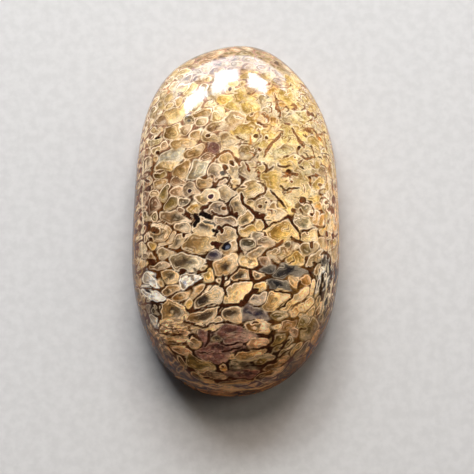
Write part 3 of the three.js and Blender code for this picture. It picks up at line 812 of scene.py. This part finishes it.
class Tree:
    """A material's nodes, made one call at a time."""

    def __init__(self, name):
        self.material = bpy.data.materials.new(name)
        self.material.use_nodes = True
        self.nodes = self.material.node_tree.nodes
        self.links = self.material.node_tree.links
        self.shader = self.nodes["Principled BSDF"]

    def set(self, socket, value):
        """Links a socket, or sets it to a constant."""
        if isinstance(value, bpy.types.NodeSocket):
            self.links.new(value, socket)
        elif isinstance(value, (tuple, list, np.ndarray)) and len(value) == 3 and socket.type == "RGBA":
            socket.default_value = (*value, 1.0)
        else:
            socket.default_value = value

    def make(self, kind, inputs=(), **settings):
        node = self.nodes.new(kind)
        for name, value in settings.items():
            setattr(node, name, value)
        for name, value in dict(inputs).items():
            self.set(node.inputs[name], value)
        return node

    def number(self, name):
        """A number that is stored at the surface's points."""
        return self.make("ShaderNodeAttribute", attribute_name=name).outputs["Fac"]

    def colour(self, name):
        """A colour that is stored at the surface's points."""
        return self.make("ShaderNodeAttribute", attribute_name=name).outputs["Color"]

    def math(self, operation, a, b=0.0, c=0.0):
        return self.make("ShaderNodeMath", {0: a, 1: b, 2: c}, operation=operation).outputs[0]

    def times(self, value, *others):
        for other in others:
            value = self.math("MULTIPLY", value, other)
        return value

    def stir(self, value, noise, amount):
        """The value, moved up and down by a noise."""
        return self.math("MULTIPLY_ADD", self.math("SUBTRACT", noise, 0.5), amount, value)

    def ramp(self, value, low, high, to_low=0.0, to_high=1.0):
        inputs = {"Value": value, "From Min": low, "From Max": high, "To Min": to_low, "To Max": to_high}
        return self.make("ShaderNodeMapRange", inputs, interpolation_type="SMOOTHSTEP").outputs["Result"]

    def line(self, value, middle, half_width):
        """1 where the value is at the middle, falling to 0 on both sides of it."""
        return self.ramp(self.math("ABSOLUTE", self.math("SUBTRACT", value, middle)), half_width, 0.0)

    def noise(self, place, scale, detail=3.0, roughness=0.55, distortion=0.0):
        inputs = {"Vector": place, "Scale": scale, "Detail": detail, "Roughness": roughness,
                  "Distortion": distortion}
        return self.make("ShaderNodeTexNoise", inputs).outputs["Fac"]

    def stretched_noise(self, place, scale):
        place = self.make("ShaderNodeMapping", {"Vector": place, "Scale": scale}).outputs[0]
        return self.noise(place, 1.0, 2.0, 0.6, 0.4)

    def mix(self, factor, a, b, blend="MIX"):
        node = self.make("ShaderNodeMix", data_type="RGBA", blend_type=blend)
        for socket, value in zip((0, 6, 7), (factor, a, b)):
            self.set(node.inputs[socket], value)
        return node.outputs[2]

    def tint(self, colour, by, factor=1.0):
        """The colour multiplied by another, as far as the factor says."""
        return self.mix(factor, colour, by, "MULTIPLY")


def golden_haze(t, mottle, cloud, fleck, speck, curl, patchy):
    """The colour of the hazy golden areas."""
    gold = t.mix(t.ramp(mottle, 0.36, 0.62), paint(216, 174, 84), paint(238, 212, 128))
    gold = t.mix(t.ramp(cloud, 0.52, 0.66), gold, paint(222, 204, 140))
    gold = t.mix(t.ramp(fleck, 0.5, 0.66, 0.0, 0.85), gold, paint(250, 232, 184))
    gold = t.mix(t.ramp(fleck, 0.44, 0.32, 0.0, 0.7), gold, paint(172, 122, 64))
    away = t.math("ABSOLUTE", t.math("SUBTRACT", curl, 0.5))
    gold = t.mix(t.times(t.ramp(away, 0.04, 0.01), t.ramp(patchy, 0.46, 0.56)), gold, paint(120, 76, 42))
    return t.mix(t.ramp(speck, 0.60, 0.70, 0.0, 0.7), gold, paint(158, 96, 44))


def polished_bone():
    """Agatized bone: cells with pale rims and mottled fillings in a dark web, under a glassy polish."""
    t = Tree("agatized_bone")
    place = t.make("ShaderNodeTexCoord").outputs["Object"]
    place = t.make("ShaderNodeVectorMath", {0: place, "Scale": 1 / MM}, operation="SCALE").outputs[0]
    fray = t.noise(place, 3.4, 3.0, 0.6)
    mottle = t.noise(place, 1.25, 2.0, 0.5, 0.8)
    cloud = t.noise(place, 0.45, 3.0, 0.6, 0.5)
    speck = t.noise(place, 2.4, 3.0, 0.7, 0.6)
    grain = t.noise(place, 7.0, 3.0, 0.7)
    patchy = t.noise(place, 0.9, 2.0, 0.5)
    fleck = t.noise(place, 2.9, 2.0, 0.5, 0.4)
    curl = t.noise(place, 0.8, 1.5, 0.5, 1.6)
    streaks = t.stretched_noise(place, (0.5, 2.7, 1.5))
    upright = t.stretched_noise(place, (2.4, 0.45, 2.0))

    # Where the web, the rim, the bands and the core of a cell are.
    wall = t.stir(t.number("wall"), fray, 0.07)
    depth = t.times(wall, t.ramp(t.number("chance"), 0.0, 1.0, 0.8, 1.3))
    bands, edge, glow = t.number("bands"), t.number("edge"), t.number("glow")
    in_web = t.ramp(wall, 0.06, -0.06)
    rim_strength = t.times(t.number("rim"), t.ramp(patchy, 0.34, 0.6, 0.25, 1.35))
    in_rim = t.times(t.line(wall, 0.04, 0.09), rim_strength)
    rim_glow = t.times(rim_strength, glow, t.ramp(wall, 0.40, 0.0))
    dark_band = t.times(t.line(depth, 0.15, 0.08), bands, t.ramp(mottle, 0.62, 0.42, 0.1, 0.85))
    light_band = t.times(t.line(depth, 0.32, 0.10), bands, t.ramp(mottle, 0.44, 0.62, 0.0, 0.45))
    in_core = t.ramp(t.stir(t.number("to_core"), mottle, 0.9), 0.38, -0.18)
    in_core = t.times(in_core, t.ramp(wall, 0.04, 0.22), t.ramp(glow, 0.08, 0.36, 0.35, 1.0))

    # The filling, and the golden haze over it.
    filling = t.mix(in_core, t.colour("body"), t.colour("core"))
    filling = t.tint(filling, t.ramp(mottle, 0.3, 0.7, 0.7, 1.3))
    filling = t.tint(filling, t.mix(t.ramp(fleck, 0.36, 0.64), (0.86, 0.92, 1.02), (1.12, 1.06, 0.90)))
    filling = t.mix(t.ramp(speck, 0.60, 0.74, 0.0, 0.3), filling, paint(236, 216, 180))
    filling = t.mix(t.ramp(speck, 0.40, 0.28, 0.0, 0.35), filling, paint(96, 64, 40))
    veil = t.times(t.number("veil"), t.ramp(cloud, 0.35, 0.6, 0.6, 1.6))
    filling = t.mix(veil, filling, golden_haze(t, mottle, cloud, fleck, speck, curl, patchy))

    # The rim, the shaded and lit sides, the bands and the fine ripples.
    rim = t.tint(t.colour("rim_paint"), t.ramp(cloud, 0.35, 0.65, 0.88, 1.12))
    shade = t.stir(t.number("shade"), mottle, 1.2)
    shaded = t.times(t.ramp(wall, 0.05, 0.16), bands)
    shadow = t.times(t.ramp(shade, 0.1, 0.65), shaded, 0.85)
    light = t.times(t.ramp(shade, -0.25, -0.85), shaded, 0.6)
    filling = t.mix(rim_glow, filling, rim)
    filling = t.tint(filling, (0.42, 0.32, 0.23), shadow)
    filling = t.mix(light, filling, rim)
    filling = t.tint(filling, (0.54, 0.42, 0.30), dark_band)
    filling = t.mix(light_band, filling, rim)
    rings = t.math("SINE", t.math("MULTIPLY_ADD", depth, 26.0, t.times(mottle, 9.0)))
    ringed = t.times(bands, t.ramp(patchy, 0.38, 0.60, 0.2, 0.9))
    filling = t.tint(filling, t.ramp(rings, -1.0, 1.0, 0.74, 1.18), ringed)
    colour = t.mix(in_rim, filling, rim)

    # The streaks of the near end and of the two flanks.
    streaked = t.mix(t.ramp(streaks, 0.38, 0.62), (0.42, 0.34, 0.30), (1.5, 1.36, 1.2))
    colour = t.tint(colour, streaked, t.number("streak"))
    flank = t.number("flank")
    colour = t.mix(t.times(t.ramp(upright, 0.55, 0.66, 0.0, 0.8), flank), colour, paint(246, 222, 182))
    colour = t.mix(t.times(t.ramp(upright, 0.46, 0.36, 0.0, 0.75), flank), colour, paint(158, 82, 36))

    # The web, and the frayed fibres of the right edge.
    web = t.tint(t.colour("web"), t.ramp(speck, 0.34, 0.66, 0.55, 1.45))
    web = t.tint(web, (0.40, 0.30, 0.24), t.times(t.line(wall, 0.01, 0.06), 0.6))
    web = t.mix(t.ramp(edge, 0.0, 0.5, 0.0, 0.7), web, paint(128, 64, 20))
    colour = t.mix(in_web, colour, web)
    frayed = t.number("frayed")
    colour = t.mix(t.times(t.ramp(upright, 0.56, 0.64, 0.0, 0.8), frayed), colour, paint(240, 218, 176))
    colour = t.mix(t.times(t.ramp(upright, 0.48, 0.40, 0.0, 0.85), frayed), colour, paint(32, 19, 11))

    # Fine grain over everything, a warmer tint by place, painted shade low on the side walls and at the near
    # end, and the pale dots and lines, some of the dots painted highlights.
    colour = t.tint(colour, t.ramp(speck, 0.3, 0.7, 0.90, 1.10))
    colour = t.tint(colour, t.ramp(grain, 0.25, 0.75, 0.82, 1.18))
    colour = t.tint(colour, (1.035, 0.92, 0.80), t.number("warm"))
    # Painted shade: darker low on the side walls, and darker still on the low flank of the near end and the
    # low left side.
    colour = t.tint(colour, (0.74, 0.61, 0.46), t.ramp(edge, 0.3, 1.0))
    colour = t.tint(colour, (0.45, 0.28, 0.08), t.number("painted_low_shade"))
    colour = t.mix(t.number("highlight_and_pale_mark"), colour, t.colour("highlight_and_pale_mark_paint"))

    rough = t.math("ADD", t.ramp(grain, 0.3, 0.8, 0.03, 0.07), t.times(in_web, 0.03))
    relief = t.math("ADD", t.times(grain, 0.25), t.times(t.ramp(wall, -0.1, 0.25), 0.3))
    bump = t.make("ShaderNodeBump", {"Strength": BUMP_STRENGTH, "Distance": BUMP_HEIGHT, "Height": relief})
    t.set(t.shader.inputs["Base Color"], colour)
    t.set(t.shader.inputs["Roughness"], rough)
    t.set(t.shader.inputs["Normal"], bump.outputs["Normal"])
    t.shader.inputs["IOR"].default_value = POLISH_IOR
    return t.material


def studio_floor_material():
    """A pale, matte floor with a faint speckle."""
    t = Tree("studio_floor")
    speck = t.noise(t.make("ShaderNodeTexCoord").outputs["Object"], FLOOR_SPECKLE)
    colour = t.mix(t.ramp(speck, 0.3, 0.7), paint(196, 193, 188), paint(204, 201, 196))
    t.set(t.shader.inputs["Base Color"], colour)
    t.shader.inputs["Roughness"].default_value = FLOOR_ROUGHNESS
    t.shader.inputs["Specular IOR Level"].default_value = 0.0
    return t.material


# ---- Floor, lights and camera ----

FLOOR_HALF = 3.0
DAYLIGHT = (0.84, 0.92, 1.0)

# The lights: name, azimuth, elevation, distance, width and height, radiance and colour, and False where the
# polish doesn't reflect them. The four windows are the stone's sharp highlights.
LIGHTS = [
    ("window_left", -26.0, 32.5, 0.45, (0.128, 0.072), 27.0, DAYLIGHT),
    ("window_middle", -6.6, 26.5, 0.45, (0.082, 0.085), 27.0, DAYLIGHT),
    ("window_corner", -10.0, 33.2, 0.45, (0.044, 0.060), 27.0, DAYLIGHT),
    ("window_right", 14.5, 29.5, 0.45, (0.105, 0.085), 27.0, DAYLIGHT),
    ("window_haze", -7, 31, 0.46, (0.30, 0.13), 1.3, (0.78, 0.88, 1.0)),
    ("sill_middle", -9, 11, 0.45, (0.13, 0.13), 2.6, (0.94, 0.94, 1.0)),
    ("sill_right", 12, 10, 0.45, (0.09, 0.13), 2.6, (0.96, 0.97, 1.0)),
    ("sill_glow", -3, 11, 0.6, (0.85, 0.22), 6.8, (0.60, 0.75, 1.0)),
    ("fill", 0, 40, 0.8, (0.7, 0.5), 4.75, (1.0, 0.875, 0.815), False),
    ("side", 80, 32, 0.8, (0.5, 0.5), 1.75, (1.0, 0.93, 0.82), False),
]
WORLD_COLOUR = (1.0, 0.97, 0.93, 1.0)
WORLD_STRENGTH = 0.04

AIM = Vector((0.13, -1.68, 0.0)) * MM
CAMERA_ELEVATION = math.radians(72)
CAMERA_DISTANCE = 254 * MM
VIEW_WIDTH = 55.3 * MM
SENSOR = 36.0


def make_floor():
    """A square floor far wider than the stone."""
    corners = [(x * FLOOR_HALF, y * FLOOR_HALF, 0.0) for x, y in ((-1, -1), (1, -1), (1, 1), (-1, 1))]
    mesh = bpy.data.meshes.new("studio_floor")
    mesh.from_pydata(corners, [], [(0, 1, 2, 3)])
    mesh.materials.append(studio_floor_material())
    return add("studio_floor", mesh)


def direction(azimuth, elevation):
    """Towards a place round the stone: azimuth 0 is +Y and turns towards +X, in degrees."""
    a, e = math.radians(azimuth), math.radians(elevation)
    return Vector((math.sin(a) * math.cos(e), math.cos(a) * math.cos(e), math.sin(e)))


def make_light(name, azimuth, elevation, distance, size, radiance, colour, in_polish=True):
    """A rectangular soft light that faces the stone; radiance is how bright its face looks."""
    data = bpy.data.lights.new(name, "AREA")
    data.shape = "RECTANGLE"
    data.size, data.size_y = size
    data.energy = radiance * math.pi * size[0] * size[1]
    data.color = colour
    light = add(name, data)
    towards = direction(azimuth, elevation)
    light.location = towards * distance
    light.rotation_euler = towards.to_track_quat("Z", "Y").to_euler()
    light.visible_camera = False
    light.visible_glossy = in_polish


def make_world():
    """A faint light from all around."""
    world = bpy.data.worlds.new("studio")
    world.use_nodes = True
    backdrop = world.node_tree.nodes["Background"]
    backdrop.inputs["Color"].default_value = WORLD_COLOUR
    backdrop.inputs["Strength"].default_value = WORLD_STRENGTH
    bpy.context.scene.world = world


def make_camera():
    """The photo's camera: high over the stone's near end."""
    data = bpy.data.cameras.new("camera")
    data.sensor_width = SENSOR
    data.lens = SENSOR * CAMERA_DISTANCE / VIEW_WIDTH
    data.clip_start = 0.001
    camera = add("camera", data)
    back = Vector((0, -math.cos(CAMERA_ELEVATION), math.sin(CAMERA_ELEVATION)))
    camera.location = AIM + back * CAMERA_DISTANCE
    camera.rotation_euler = back.to_track_quat("Z", "Y").to_euler()
    bpy.context.scene.camera = camera


make_camera()
for light in LIGHTS:
    make_light(*light)
make_world()
make_floor()
stone = make_stone()
stone.data.materials.append(polished_bone())
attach(stone, "root")
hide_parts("stone")
bpy.context.scene.view_settings.view_transform = "Standard"
